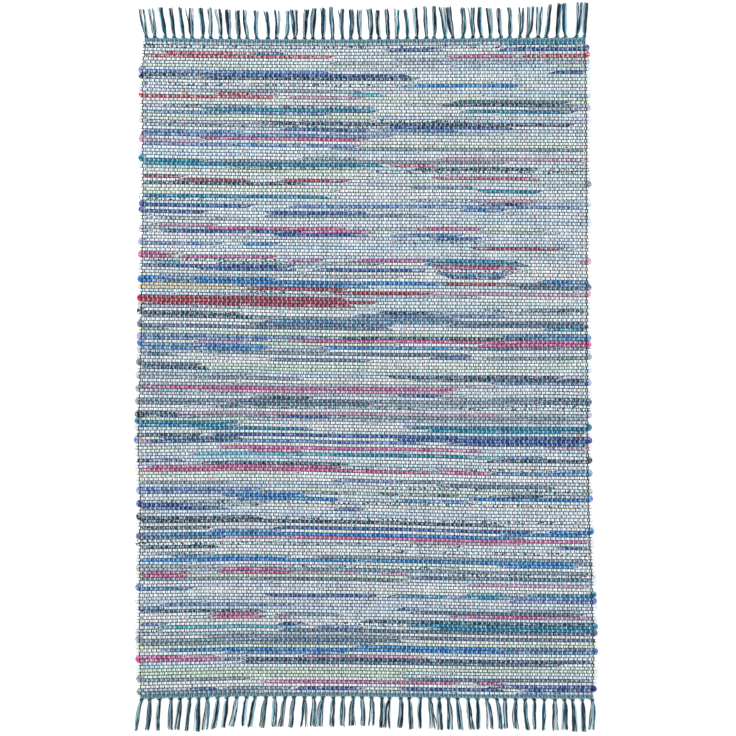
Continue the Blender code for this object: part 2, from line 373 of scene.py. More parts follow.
# The prints: how many cells or patches to a metre each has, how many radians to a metre the twill's ribs
# turn through, and the limits over which the cloth's second colour shows
FADED_LIMITS, FADED_SHARE = (0.46, 0.68), 0.75
PEBBLE_CELLS, PEBBLE_LIMIT = 230.0, 0.16
PEBBLE_PATCHES, PEBBLE_PATCH_LIMIT = 120.0, 0.47
STRIPE_LIMIT = 0.55
TWILL_RADIANS, TWILL_LIMIT = 5200.0, -0.2
TWILL_PATCHES, TWILL_PATCH_LIMIT = 75.0, 0.52
SPECKLE_CELLS, SPECKLE_LIMIT = 260.0, 0.70
SPOT_PATCHES, SPOT_LIMIT = 30.0, 0.72

# How bright a rag is, as a factor and what is added to it: by the painted shade in the hollows of its
# folds, its wear, the painted shade beside the warp yarns where its bulges dip, the chance level of a
# bulge, and where it is loose, which lifts the painted shade of its grooves
FOLD_PAINTED_SHADE = (0.5, 0.76)
WEAR_SHADE = (0.5, 0.75)
BULGE_PAINTED_SHADE = (0.06, 0.97)
LEVEL_SHADE = (0.21, 0.88)
LOOSE_PAINTED_SHADE = (1.5, -0.65)

# Then the painted shade that a crease takes from it and how broad a crease is, the least brightness of the
# painted groove shade in a turn and of the warp beneath, between which limits the painted shade of a groove
# ends, and how much they vary
CREASE_PAINTED_SHADE, CREASE_HALF = -0.28, 0.012
TURN_PAINTED_SHADE, BENEATH_SHADE = 0.84, 0.9
PAINTED_GROOVE_LIMITS, PAINTED_GROOVE_VARIETY = (0.30, 0.88), 0.12

# A rag's pale back: how the limit over which it shows rises away from a tip, how it goes in a turn, how
# much of it shows, and how soft its edge is
BACK_AT_TIP = (0.15, 0.46)
BACK_IN_TURN = (-0.8, 1.0)
BACK_SHARE, BACK_EDGE = 0.5, 0.08

# The rag cloth: the colour of its pale back, how high above the floor the warp beneath still shows and how
# far from a yarn's middle in warp spacings, then how high that warp, folds, bulges, creases, threads and
# hairs stand
PALE_BACK = (0.86, 0.89, 0.94, 1.0)
BENEATH_TOP = 0.0022
BENEATH_HALF = 0.33
BENEATH_HEIGHT = 0.0006
FOLD_HEIGHT = 0.0011
BULGE_HEIGHT = 0.0004
CREASE_HEIGHT = -0.0002
THREAD_HEIGHT = 0.00004
RAG_HAIR_HEIGHT = 0.00003

# The yarn: the heights of its plies and its hairs
PLY_HEIGHT = 0.00022
YARN_HAIR_HEIGHT = 0.00005

# The scale at which a rag's section is laid along its curve, before its girth makes it full size
SECTION_SCALE = 0.001

# The stage: how far the floor reaches and lies below the rug, each light's place, size and power, the
# camera's lens and sensor in millimetres, the picture's side in pixels and the height it is measured at
FLOOR_REACH = 12.0
FLOOR_DROP = 0.0005
LIGHTS = {
    "soft_key": ((-1.6, 2.2, 3.4), 2.4, 97.0),
    "soft_fill": ((2.4, -1.2, 3.2), 2.6, 36.0),
}
LENS, SENSOR = 85.0, 36.0
PICTURE_SIDE = 736
PICTURE_HEIGHT = 0.006

# Half of a row's section, from its top to its foot: share of its half width, share of its half height
RAG_SECTION = (
    (0.40, 1.00),
    (0.80, 0.60),
    (0.97, -0.05),
    (0.58, -1.00),
)


def linear(colour):
    """A screen colour as the linear colour with alpha that sockets take."""
    return tuple(c / 12.92 if c <= 0.04045 else ((c + 0.055) / 1.055) ** 2.4 for c in colour) + (1.0,)


def column(table, at, index):
    """The values in that column of a table, on straight lines between its rows."""
    return np.interp(at, [line[0] for line in table], [line[index] for line in table])


def rise(share):
    """A smooth step from 0 to 1."""
    share = np.clip(share, 0.0, 1.0)
    return share * share * (3 - 2 * share)


def wander(seed):
    """A smooth random surface: returns a function of (u, v) with values from -1 to 1, one cell per unit."""
    cells = np.random.default_rng(seed).uniform(-1, 1, (NOISE_CELLS, NOISE_CELLS))

    def at(u, v):
        u, v = np.broadcast_arrays(np.asarray(u, float) + 8, np.asarray(v, float) + 8)
        i, j = np.floor(u).astype(int), np.floor(v).astype(int)
        s, t = rise(u - i), rise(v - j)
        i, j = i % (NOISE_CELLS - 1), j % (NOISE_CELLS - 1)
        low = cells[i, j] * (1 - s) + cells[i + 1, j] * s
        high = cells[i, j + 1] * (1 - s) + cells[i + 1, j + 1] * s
        return low * (1 - t) + high * t

    return at


ROW_NOISE = wander(7)
WARP_NOISE = wander(8)


def woven_end(x, side):
    """Y of the end of the rag rows at that X."""
    return WOVEN_MIDDLE_Y + side * (HALF_WOVEN - column(END_BOWS, x, 1 if side == FAR else 2))


def row_line(row, x):
    """Y of the middle of a row of rag at that X."""
    share = (np.asarray(row, float) + 0.5) / RAG_ROWS
    near, far = woven_end(x, NEAR), woven_end(x, FAR)
    held = rise(np.minimum(share, 1 - share) / ROW_HOLD)
    waves = np.sin(5.1 * x + 9 * share) + np.sin(21 * share - 3.4 * x)
    y = near + (far - near) * share + ROW_WAVE * np.sin(math.pi * share) * waves
    y = y - ROW_DRIFT * held * x / WIDEST
    return y + ROW_WANDER * held * ROW_NOISE(share * RAG_ROWS / 5, (x + WIDEST) / 0.13)


def edge_line(row, side):
    """X of the warp's outer edge at that row, on that side, inside the loops of rag."""
    inset = column(EDGE_INSETS, (np.asarray(row, float) + 0.5) / RAG_ROWS, 1 if side == LEFT else 2)
    return side * (WIDEST / 2 - inset - LOOP_DEPTH)


def warp_line(end, row):
    """X of a warp yarn at that row."""
    left, right = edge_line(row, LEFT), edge_line(row, RIGHT)
    return left + (np.asarray(end, float) + 0.5) / WARP_ENDS * (right - left)


def add(tree, kind, ins=(), **settings):
    """A node with its settings and inputs. An input is a value, or an output socket to link."""
    made = tree.nodes.new(kind)
    for name, value in settings.items():
        setattr(made, name, value)
    for socket, value in (ins.items() if isinstance(ins, dict) else enumerate(ins)):
        if isinstance(value, bpy.types.NodeSocket):
            tree.links.new(value, made.inputs[socket])
        elif value is not None:
            made.inputs[socket].default_value = value
    return made


def calc(tree, operation, *ins):
    """A Math node's output."""
    return add(tree, "ShaderNodeMath", ins, operation=operation).outputs[0]


def vector_calc(tree, operation, *ins):
    """A Vector Math node's output."""
    return add(tree, "ShaderNodeVectorMath", ins, operation=operation).outputs[0]


def mix(tree, share, first, second):
    """The colour between two others."""
    return add(tree, "ShaderNodeMix", {0: share, 6: first, 7: second}, data_type="RGBA").outputs[2]


def scaled(tree, vector, factor):
    """A vector or a colour times a number."""
    return add(tree, "ShaderNodeVectorMath", {0: vector, "Scale": factor}, operation="SCALE").outputs[0]


def product(tree, first, *others):
    """All the values multiplied together."""
    for value in others:
        first = calc(tree, "MULTIPLY", first, value)
    return first


def times_plus(tree, value, factor, plus):
    """The value times a factor, plus another value."""
    return calc(tree, "MULTIPLY_ADD", value, factor, plus)


def split(tree, vector):
    """A vector's X, Y and Z."""
    return add(tree, "ShaderNodeSeparateXYZ", (vector,)).outputs


def object_place(tree):
    """The place on the piece, in its own metres."""
    return add(tree, "ShaderNodeTexCoord").outputs["Object"]


def group_sockets(tree, ins, outs):
    """Adds a node group's sockets, each (name, kind, default or None), and returns its in and out nodes."""
    for in_out, rows in (("INPUT", ins), ("OUTPUT", outs)):
        for name, kind, default in rows:
            socket = tree.interface.new_socket(name, in_out=in_out, socket_type="NodeSocket" + kind)
            if default is not None:
                socket.default_value = default
    return tree.nodes.new("NodeGroupInput"), tree.nodes.new("NodeGroupOutput")


def attribute(tree, name, kind):
    """The value of an attribute of the mesh, as a Color or a Vector."""
    made = add(tree, "ShaderNodeAttribute", attribute_type="GEOMETRY", attribute_name=name)
    return made.outputs[kind]


def noise(tree, place, scale, detail=2.0):
    """A noise texture's value, of features about 1 / scale across."""
    return add(tree, "ShaderNodeTexNoise", {"Vector": place, "Scale": scale, "Detail": detail}).outputs[0]


def drawn_noise(tree, place, cells, detail=2.0):
    """Noise with that many cells to a metre along each axis."""
    return noise(tree, vector_calc(tree, "MULTIPLY", place, cells), 1.0, detail)


def soft_step(tree, value, low, high):
    """A smooth step from 0 at low to 1 at high."""
    made = add(tree, "ShaderNodeMapRange", (value, low, high, 0.0, 1.0), interpolation_type="SMOOTHSTEP")
    return made.outputs[0]


def over(tree, value, limit):
    """1 where the value is over the limit, and 0 elsewhere."""
    return calc(tree, "GREATER_THAN", value, limit)


def cotton_group():
    """Shader group: a cotton surface with fine hairs, from its colour, its shade (tone and painted shade,
    multiplied into the colour) and its height.
    """
    tree = bpy.data.node_groups.new("cotton surface", "ShaderNodeTree")
    given, put = group_sockets(
        tree,
        (
            ("Colour", "Color", None),
            ("Shade", "Float", 1.0),
            ("Height", "Float", 0.0),
            ("Hair shade", "Float", 0.2),
            ("Hair height", "Float", YARN_HAIR_HEIGHT),
        ),
        (("Colour", "Color", None), ("Height", "Float", None)),
    )
    take = given.outputs
    hairs = noise(tree, object_place(tree), HAIRS_PER_METRE)
    tint = times_plus(tree, calc(tree, "SUBTRACT", hairs, 0.5), take["Hair shade"], 1.0)
    colour = scaled(tree, take["Colour"], product(tree, take["Shade"], tint))
    tree.links.new(colour, put.inputs["Colour"])
    tree.links.new(times_plus(tree, hairs, take["Hair height"], take["Height"]), put.inputs["Height"])
    return tree


def cotton_surface(tree, shader, bump_strength, ins):
    """Places the shared cotton group in a material, and joins it to the shader's colour and normal."""
    group = shared_group("cotton surface", cotton_group)
    cotton = add(tree, "ShaderNodeGroup", ins, node_tree=group).outputs
    tree.links.new(cotton["Colour"], shader.inputs["Base Color"])
    bump_ins = {"Strength": bump_strength, "Distance": 1.0, "Height": cotton["Height"]}
    tree.links.new(add(tree, "ShaderNodeBump", bump_ins).outputs[0], shader.inputs["Normal"])


def yarn_twist_group():
    """Shader group: the height of a plied yarn and its painted shade, darker between the plies, from the
    place across it and along it.
    """
    tree = bpy.data.node_groups.new("yarn twist", "ShaderNodeTree")
    given, put = group_sockets(
        tree,
        (
            ("Along", "Float", 0.0),
            ("Across", "Float", 0.0),
            ("Turns", "Float", 3.0),
            ("Slant", "Float", 0.9),
        ),
        (("Height", "Float", None), ("Shade", "Float", None)),
    )
    take = given.outputs
    slant = product(tree, take["Across"], take["Slant"])
    turned = product(tree, take["Along"], take["Turns"])
    phase = product(tree, calc(tree, "ADD", turned, slant), 2 * math.pi)
    ply = calc(tree, "ABSOLUTE", calc(tree, "SINE", product(tree, phase, 0.5)))
    tree.links.new(ply, put.inputs["Height"])
    # Painted shade: darker in the grooves between the plies
    tree.links.new(times_plus(tree, ply, 0.45, 0.68), put.inputs["Shade"])
    return tree


def cloth_weave_group():
    """Shader group: the height of a fine cotton weave, and how worn the cloth is at that place."""
    tree = bpy.data.node_groups.new("cloth weave", "ShaderNodeTree")
    given, put = group_sockets(
        tree,
        (("Vector", "Vector", None), ("Threads", "Float", 2400.0), ("Worn patches", "Float", 42.0)),
        (("Height", "Float", None), ("Wear", "Float", None)),
    )
    take = given.outputs
    threads = split(tree, scaled(tree, take["Vector"], take["Threads"]))
    both = product(tree, *(calc(tree, "SINE", threads[axis]) for axis in (0, 1)))
    tree.links.new(both, put.inputs["Height"])
    tree.links.new(noise(tree, take["Vector"], take["Worn patches"], 4.0), put.inputs["Wear"])
    return tree


def shared_group(name, make):
    """The node group of that name, made the first time that it is asked for."""
    return bpy.data.node_groups.get(name) or make()


def new_material(name, roughness, sheen):
    """A material with its Principled shader, and those two values on the shader's own sockets."""
    material = bpy.data.materials.new(name)
    material.use_nodes = True
    shader = material.node_tree.nodes["Principled BSDF"]
    shader.inputs["Roughness"].default_value = roughness
    shader.inputs["Sheen Weight"].default_value = sheen
    shader.inputs["Sheen Roughness"].default_value = 0.6
    shader.inputs["Specular IOR Level"].default_value = 0.15
    return material, material.node_tree, shader


def print_mask(tree, place, kind, seed):
    """How much of a cloth's second colour shows: one of six prints, chosen by the print's number."""
    shift = add(tree, "ShaderNodeCombineXYZ", (seed, seed, seed)).outputs[0]
    moved = vector_calc(tree, "ADD", place, shift)
    x, y, _ = split(tree, moved)
    faded = soft_step(tree, drawn_noise(tree, moved, FADED_CELLS, 3.0), *FADED_LIMITS)
    pebbles = add(
        tree, "ShaderNodeTexVoronoi", {"Vector": moved, "Scale": PEBBLE_CELLS}, feature="DISTANCE_TO_EDGE"
    ).outputs["Distance"]
    pebble_patches = over(tree, noise(tree, moved, PEBBLE_PATCHES), PEBBLE_PATCH_LIMIT)
    ribs = calc(tree, "SINE", product(tree, calc(tree, "ADD", x, y), TWILL_RADIANS))
    twill_patches = over(tree, noise(tree, moved, TWILL_PATCHES), TWILL_PATCH_LIMIT)
    cells = add(tree, "ShaderNodeTexVoronoi", {"Vector": moved, "Scale": SPECKLE_CELLS}).outputs["Color"]
    speckles = add(tree, "ShaderNodeSeparateColor", (cells,)).outputs[0]
    prints = {
        PLAIN: product(tree, faded, FADED_SHARE),
        PEBBLE: product(tree, over(tree, pebbles, PEBBLE_LIMIT), pebble_patches),
        STRIPE: over(tree, drawn_noise(tree, moved, STRIPE_CELLS), STRIPE_LIMIT),
        TWILL: product(tree, over(tree, ribs, TWILL_LIMIT), twill_patches),
        SPECKLE: over(tree, speckles, SPECKLE_LIMIT),
        SPOTTED: over(tree, noise(tree, moved, SPOT_PATCHES), SPOT_LIMIT),
    }
    total = 0.0
    for number, mask in prints.items():
        total = times_plus(tree, mask, calc(tree, "COMPARE", kind, float(number), 0.4), total)
    return total


def under_warp(tree, colours, across, row, depth):
    """The warp yarns that pass under the rags: their colour, and where they show on the underside."""
    offset = calc(tree, "SUBTRACT", calc(tree, "FRACT", across), 0.5)
    on_yarn = calc(tree, "LESS_THAN", calc(tree, "ABSOLUTE", offset), BENEATH_HALF)
    parity = calc(tree, "FLOORED_MODULO", calc(tree, "ADD", calc(tree, "FLOOR", across), row), 2.0)
    low = calc(tree, "LESS_THAN", depth, BENEATH_TOP)
    where = product(tree, on_yarn, over(tree, parity, 0.5), low)
    repeat = float(len(WARP_REPEAT))
    turn = calc(tree, "DIVIDE", calc(tree, "FLOORED_MODULO", across, repeat), repeat)
    ramp = add(tree, "ShaderNodeValToRGB", (turn,))
    stops = ramp.color_ramp
    stops.interpolation = "CONSTANT"
    while len(stops.elements) < len(WARP_REPEAT):
        stops.elements.new(0.5)
    for number, name in enumerate(WARP_REPEAT):
        stops.elements[number].position = number / len(WARP_REPEAT)
        stops.elements[number].color = colours[name]
    return ramp.outputs[0], where


def bulges(tree, across, row):
    """The bulges of rag between two warp yarns: a chance level for each, and its height as a wave."""
    offset = calc(tree, "SUBTRACT", calc(tree, "SUBTRACT", across, 0.5), row)
    number = calc(tree, "FLOOR", calc(tree, "DIVIDE", offset, 2.0))
    bulge = add(tree, "ShaderNodeCombineXYZ", (number, row)).outputs[0]
    level = add(tree, "ShaderNodeTexWhiteNoise", {"Vector": bulge}).outputs["Value"]
    return level, product(tree, calc(tree, "COSINE", product(tree, offset, math.pi)), -1.0)


def painted_groove_shade(tree, place, depth, top, level, turn):
    """Painted shade on a row of rag by height: dark half way up, in the grooves between rows, and less so
    where the rag is loose or turns back."""
    off_middle = times_plus(tree, calc(tree, "DIVIDE", depth, top), 2.0, -1.0)
    off_middle = times_plus(tree, level, PAINTED_GROOVE_VARIETY, calc(tree, "ABSOLUTE", off_middle))
    painted_dark_grooves = soft_step(tree, off_middle, *PAINTED_GROOVE_LIMITS)
    loose = times_plus(tree, drawn_noise(tree, place, LOOSE_CELLS), *LOOSE_PAINTED_SHADE)
    loose = calc(tree, "MAXIMUM", calc(tree, "MAXIMUM", loose, 0.0), product(tree, turn, TURN_PAINTED_SHADE))
    return calc(tree, "MAXIMUM", painted_dark_grooves, loose)


def rag_material(colours):
    """Torn cotton cloth, rolled into rags: its colours and print come from each strip of rag, with painted
    shade in its folds, creases and grooves and beside the warp yarns.
    """
    material, tree, shader = new_material("rag cloth", 0.92, 0.06)
    place = object_place(tree)
    depth = split(tree, place)[2]
    face, second = (attribute(tree, name, "Color") for name in ("face_colour", "second_colour"))
    kind, seed, fade = split(tree, attribute(tree, "cloth_facts", "Vector"))
    across, row, turn = split(tree, attribute(tree, "weave_place", "Vector"))
    from_tip, top, _ = split(tree, attribute(tree, "tip_facts", "Vector"))
    group = shared_group("cloth weave", cloth_weave_group)
    weave = add(tree, "ShaderNodeGroup", {"Vector": place}, node_tree=group).outputs

    colour = mix(tree, print_mask(tree, place, kind, seed), face, second)
    twisted = drawn_noise(tree, place, TWIST_CELLS, 3.0)
    back_limit = times_plus(tree, from_tip, *BACK_AT_TIP)
    back = soft_step(tree, calc(tree, "SUBTRACT", twisted, back_limit), 0.0, BACK_EDGE)
    back = product(tree, back, BACK_SHARE, times_plus(tree, turn, *BACK_IN_TURN))
    colour = mix(tree, back, colour, PALE_BACK)

    # Painted shade: darker in the hollows of the folds and along the creases, which are also bumped
    stretched = vector_calc(tree, "MULTIPLY", place, FOLD_CELLS)
    folds = noise(tree, stretched, 1.0, 3.0)
    crease = calc(tree, "COMPARE", noise(tree, stretched, 0.6), 0.5, CREASE_HALF)
    painted_fold_shade = times_plus(tree, crease, CREASE_PAINTED_SHADE, times_plus(tree, folds, *FOLD_PAINTED_SHADE))
    worn = times_plus(tree, weave["Wear"], *WEAR_SHADE)
    level, bulge = bulges(tree, across, row)
    # Painted shade in the grooves between the rows, half way up their height
    painted_dark_grooves = painted_groove_shade(tree, place, depth, top, level, turn)
    shade = product(tree, product(tree, painted_fold_shade, worn), product(tree, fade, painted_dark_grooves))
    # Painted shade beside the warp yarns, where the bulges of rag dip
    shade = product(tree, shade, times_plus(tree, bulge, *BULGE_PAINTED_SHADE))
    shade = product(tree, shade, times_plus(tree, level, *LEVEL_SHADE))
    yarn, beneath = under_warp(tree, colours, across, row, depth)
    colour = mix(tree, beneath, colour, yarn)
    shade = calc(tree, "MAXIMUM", shade, product(tree, beneath, BENEATH_SHADE))

    height = times_plus(tree, folds, FOLD_HEIGHT, product(tree, bulge, BULGE_HEIGHT))
    height = times_plus(tree, crease, CREASE_HEIGHT, height)
    height = times_plus(tree, weave["Height"], THREAD_HEIGHT, height)
    height = times_plus(tree, beneath, BENEATH_HEIGHT, height)
    cotton_surface(tree, shader, 0.8, {
        "Colour": colour, "Shade": shade, "Height": height,
        "Hair shade": 0.16, "Hair height": RAG_HAIR_HEIGHT,
    })
    return material


def yarn_material():
    """Two-ply twisted cotton warp yarn, which takes its colour from each yarn. It is made only once."""
    if "warp yarn" in bpy.data.materials:
        return bpy.data.materials["warp yarn"]
    material, tree, shader = new_material("warp yarn", 0.9, 0.05)
    along, across, _ = split(tree, attribute(tree, "yarn_place", "Vector"))
    ins = {"Along": along, "Across": across, "Turns": 1.0}
    group = shared_group("yarn twist", yarn_twist_group)
    twist = add(tree, "ShaderNodeGroup", ins, node_tree=group).outputs
    cotton_surface(tree, shader, 0.7, {
        "Colour": attribute(tree, "yarn_colour", "Color"), "Shade": twist["Shade"],
        "Height": product(tree, twist["Height"], PLY_HEIGHT),
        "Hair shade": 0.2, "Hair height": YARN_HAIR_HEIGHT,
    })
    return material


def in_scene(name, data):
    """A new object of that data, in the scene."""
    made = bpy.data.objects.new(name, data)
    bpy.context.scene.collection.objects.link(made)
    return made


def new_mesh(name, points, edges=(), faces=(), attributes=()):
    """An object of those points, with each attribute, given as (name, kind, values), on them."""
    mesh = bpy.data.meshes.new(name)
    mesh.from_pydata(points, edges, faces)
    for title, kind, values in attributes:
        layer = mesh.attributes.new(title, kind, "POINT")
        field = {"FLOAT": "value", "FLOAT_VECTOR": "vector", "FLOAT_COLOR": "color"}[kind]
        layer.data.foreach_set(field, np.asarray(values, np.float32).ravel())
    return in_scene(name, mesh)


def geometry_tree(name, inputs):
    """A Geometry Nodes tree with a geometry in and out, and named inputs (name, kind, default)."""
    tree = bpy.data.node_groups.new(name, "GeometryNodeTree")
    given, put = group_sockets(
        tree, (("Geometry", "Geometry", None), *inputs), (("Geometry", "Geometry", None),)
    )
    return tree, given, put


def close_tree(tree, given, put, geometry):
    """Ends a tree: instances made real, smooth faces, and the material that its input names."""
    real = add(tree, "GeometryNodeRealizeInstances", (geometry,)).outputs[0]
    smooth = add(tree, "GeometryNodeSetShadeSmooth", (real,)).outputs[0]
    done = add(tree, "GeometryNodeSetMaterial", {0: smooth, 2: given.outputs["Material"]}).outputs[0]
    tree.links.new(done, put.inputs[0])


def named(tree, name, kind):
    """A Named Attribute node's output."""
    return add(tree, "GeometryNodeInputNamedAttribute", (name,), data_type=kind).outputs[0]


def kept(tree, geometry, name, kind, value):
    """A value kept on the geometry as it is there: the geometry's output and the value's."""
    capture = add(tree, "GeometryNodeCaptureAttribute", (geometry,))
    capture.capture_items.new(kind, name)
    tree.links.new(value, capture.inputs[1])
    return capture.outputs[0], capture.outputs[1]


def stored(tree, geometry, name, value, kind, domain):
    """The geometry with the value stored on it as a named attribute."""
    ins = {"Geometry": geometry, "Name": name, "Value": value}
    return add(tree, "GeometryNodeStoreNamedAttribute", ins, data_type=kind, domain=domain).outputs[0]


def strip_tree():
    """Turns each line of points into a soft bar of rag, as wide and as high as its points say."""
    tree, given, put = geometry_tree("rag strips", (
        ("Section", "Object", None),
        ("Material", "Material", None),
    ))
    curve = add(tree, "GeometryNodeMeshToCurve", (given.outputs[0],)).outputs[0]
    upright = add(tree, "GeometryNodeSetCurveNormal", (curve,), mode="Z_UP").outputs[0]
    here = add(tree, "GeometryNodeInputPosition").outputs[0]
    upright, middle = kept(tree, upright, "Middle", "VECTOR", here)
    section = add(tree, "GeometryNodeObjectInfo", (given.outputs["Section"],)).outputs["Geometry"]
    profile = add(tree, "GeometryNodeMeshToCurve", (section,)).outputs[0]
    bar = add(
        tree, "GeometryNodeCurveToMesh",
        {"Curve": upright, "Profile Curve": profile, "Scale": SECTION_SCALE, "Fill Caps": True},
    ).outputs[0]
    offset = vector_calc(tree, "SUBTRACT", here, middle)
    girth = scaled(tree, named(tree, "girth", "FLOAT_VECTOR"), 1 / SECTION_SCALE)
    moved = vector_calc(tree, "ADD", middle, vector_calc(tree, "MULTIPLY", offset, girth))
    close_tree(tree, given, put, add(tree, "GeometryNodeSetPosition", {0: bar, 2: moved}).outputs[0])
    return tree


def float_tree():
    """Puts a run of yarn on each point, turned and stretched as the point says, in varied shades."""
    tree, given, put = geometry_tree("warp floats", (
        ("Yarn run", "Object", None),
        ("Shade chance", "Float", 0.12),
        ("Seed", "Int", 3),
        ("Material", "Material", None),
    ))
    take = given.outputs
    run = add(tree, "GeometryNodeObjectInfo", (take["Yarn run"],)).outputs["Geometry"]
    turn = add(tree, "FunctionNodeEulerToRotation", (named(tree, "turn", "FLOAT_VECTOR"),)).outputs[0]
    stretch = named(tree, "stretch", "FLOAT_VECTOR")
    placed = add(
        tree, "GeometryNodeInstanceOnPoints",
        {"Points": take[0], "Instance": run, "Rotation": turn, "Scale": stretch},
    ).outputs[0]
    low = calc(tree, "SUBTRACT", 1.0, take["Shade chance"])
    high = calc(tree, "ADD", 1.0, take["Shade chance"])
    chance = add(
        tree, "FunctionNodeRandomValue", {2: low, 3: high, "Seed": take["Seed"]}, data_type="FLOAT"
    ).outputs[1]
    colour = scaled(tree, named(tree, "yarn_colour", "FLOAT_COLOR"), chance)
    shaded = stored(tree, placed, "yarn_colour", colour, "FLOAT_COLOR", "INSTANCE")
    close_tree(tree, given, put, shaded)
    return tree


def yarn_tree():
    """Turns each line of points into a loose yarn, as thick as its points say."""
    tree, given, put = geometry_tree("loose yarns", (
        ("Sides", "Int", 4),
        ("Turns per metre", "Float", 220.0),
        ("Material", "Material", None),
    ))
    take = given.outputs
    curve = add(tree, "GeometryNodeMeshToCurve", (take[0],)).outputs[0]
    spline = add(tree, "GeometryNodeSplineParameter").outputs
    curve, along = kept(tree, curve, "Along", "FLOAT", spline["Length"])
    ring_ins = {"Resolution": take["Sides"], "Radius": 1.0}
    ring = add(tree, "GeometryNodeCurvePrimitiveCircle", ring_ins, mode="RADIUS").outputs[0]
    ring, around = kept(tree, ring, "Around", "FLOAT", spline["Factor"])
    thickness = named(tree, "thickness", "FLOAT")
    tube = add(
        tree, "GeometryNodeCurveToMesh",
        {"Curve": curve, "Profile Curve": ring, "Scale": thickness, "Fill Caps": True},
    ).outputs[0]
    turns = product(tree, along, take["Turns per metre"])
    place = add(tree, "ShaderNodeCombineXYZ", (turns, around)).outputs[0]
    close_tree(tree, given, put, stored(tree, tube, "yarn_place", place, "FLOAT_VECTOR", "POINT"))
    return tree


def grown(source, name, tree, **values):
    """The plain mesh that a tree makes of an object, as a new object. The source is removed."""
    modifier = source.modifiers.new(name, "NODES")
    modifier.node_group = tree
    for item in tree.interface.items_tree:
        if item.in_out == "INPUT" and item.name in values:
            modifier[item.identifier] = values[item.name]
    depsgraph = bpy.context.evaluated_depsgraph_get()
    mesh = bpy.data.meshes.new_from_object(source.evaluated_get(depsgraph))
    mesh.name = name
    bpy.data.objects.remove(source)
    return in_scene(name, mesh)


def weft_path(chance):
    """The points of the one long path of the weft, up the rug row by row, turning at the long edges.

    Returns arrays: X, Y, local half width of a row, row, and 1 where the point is in a turn.
    """
    parts = [[] for _ in range(5)]

    def go(x, y, half, row, turning):
        for part, values in zip(parts, (x, y, half, row, turning)):
            part.append(np.broadcast_to(values, np.shape(x)))

    angle = np.pi * (np.arange(TURN_STEPS) + 0.5) / TURN_STEPS
    climb = np.sign(np.cos(angle)) * np.abs(np.cos(angle)) ** LOOP_FLATTENING
    for row in range(RAG_ROWS):
        sides = (RIGHT, LEFT) if row % 2 == 0 else (LEFT, RIGHT)
        x = np.linspace(*(float(edge_line(row, side)) for side in sides), ROW_STEPS + 1)
        y = row_line(row, x)
        half = (row_line(row + 0.5, x) - row_line(row - 0.5, x)) / 2
        go(x, y, half, row, 0.0)
        if row < RAG_ROWS - 1:
            next_y = float(row_line(row + 1, x[-1]))
            fullness = chance.uniform(*LOOP_FULLNESS)
            reach = LOOP_DEPTH - half[-1] * fullness - chance.uniform(0.0, LOOP_SHORT)
            turn_x = x[-1] + sides[1] * reach * np.sin(angle) ** LOOP_ROUNDING
            turn_y = (y[-1] + next_y) / 2 - (next_y - y[-1]) / 2 * climb
            go(turn_x, turn_y, half[-1] * fullness, row, 1.0)
    return [np.concatenate(part) for part in parts]


def cloth_along(xs, rows, turning, chance):
    """The number of the cloth, by its place in CLOTHS, in each part of a step along the weft's path."""
    names = list(CLOTHS)
    common = [name for name in names if CLOTHS[name][3]]
    weights = [CLOTHS[name][3] for name in common]
    step = WIDEST / ROW_STEPS / STEP_PARTS
    chosen = np.empty(len(xs), int)
    at = 0
    while at < len(xs):
        length = int(chance.uniform(*GROUND_LENGTHS) / step)
        chosen[at : at + length] = names.index(chance.choices(common, weights)[0])
        at += length
    numbers = np.arange(RAG_ROWS)
    streaks = [(name, *place) for name, places in STREAKS.items() for place in places]
    for name, left, right, down in chance_streaks(chance) + streaks:
        low, high = ((edge - READ_MIDDLE[0]) * READ_STEP for edge in (left, right))
        y = (READ_MIDDLE[1] - down) * READ_STEP
        row = int(np.argmin(np.abs(row_line(numbers, (low + high) / 2) - y)))
        chosen[(rows == row) & (turning == 0) & (xs >= low) & (xs <= high)] = names.index(name)
    white = False
    for part in np.nonzero(turning)[0]:
        if not turning[part - 1]:
            white = chance.random() < WHITE_TURNS
        chosen[part] = names.index("white") if white else chosen[part - 1]
    return chosen


def chance_streaks(chance):
    """Streaks in the patch where they fall by chance, each of another cloth than the last ones."""
    recent = []
    middle, middle_down, reach = CHANCE_PATCH
    row_step = ROW_PITCH / READ_STEP
    streaks = []
    for row in range(int(2 * reach / row_step)):
        off = (row + 0.5) * row_step - reach
        half = math.sqrt(reach * reach - off * off)
        for _ in range(int(CHANCE_STREAKS + chance.random())):
            length = min(chance.uniform(*CHANCE_LENGTHS), 2 * half)
            left = chance.uniform(middle - half, middle + half - length)
            names = [name for name in STREAKS if name not in recent]
            name = chance.choices(names, [len(STREAKS[name]) for name in names])[0]
            streaks.append((name, left, left + length, middle_down + off))
            recent = [*recent[-3:], name]
    return streaks


def strip_places(start, end, total):
    """Places along the weft's path, in steps, of the points of one strip of rag, and how full it is there.

    The strip tapers to a tip at both ends, past which the next strip has begun.
    """
    grip = min(OVERLAP, (end - start) / 3)
    low, high = start + grip + STRIP_SPACE, end - grip - STRIP_SPACE
    inner = np.arange(math.ceil(low), math.floor(high) + 1)
    places = np.concatenate(([start - grip, start + grip], inner, [end - grip, end + grip]))
    full = np.concatenate(([0.0, 1.0], np.ones(len(inner)), [1.0, 0.0]))
    return np.clip(places, 0, total), full


def rag_section():
    """The closed outline of a rag's section, one unit to each side of its middle."""
    half = [(across, -up, 0.0) for across, up in RAG_SECTION]
    points = half + [(-across, up, 0.0) for across, up, _ in reversed(half)]
    return new_mesh("rag_section", points, [(n, (n + 1) % len(points)) for n in range(len(points))])


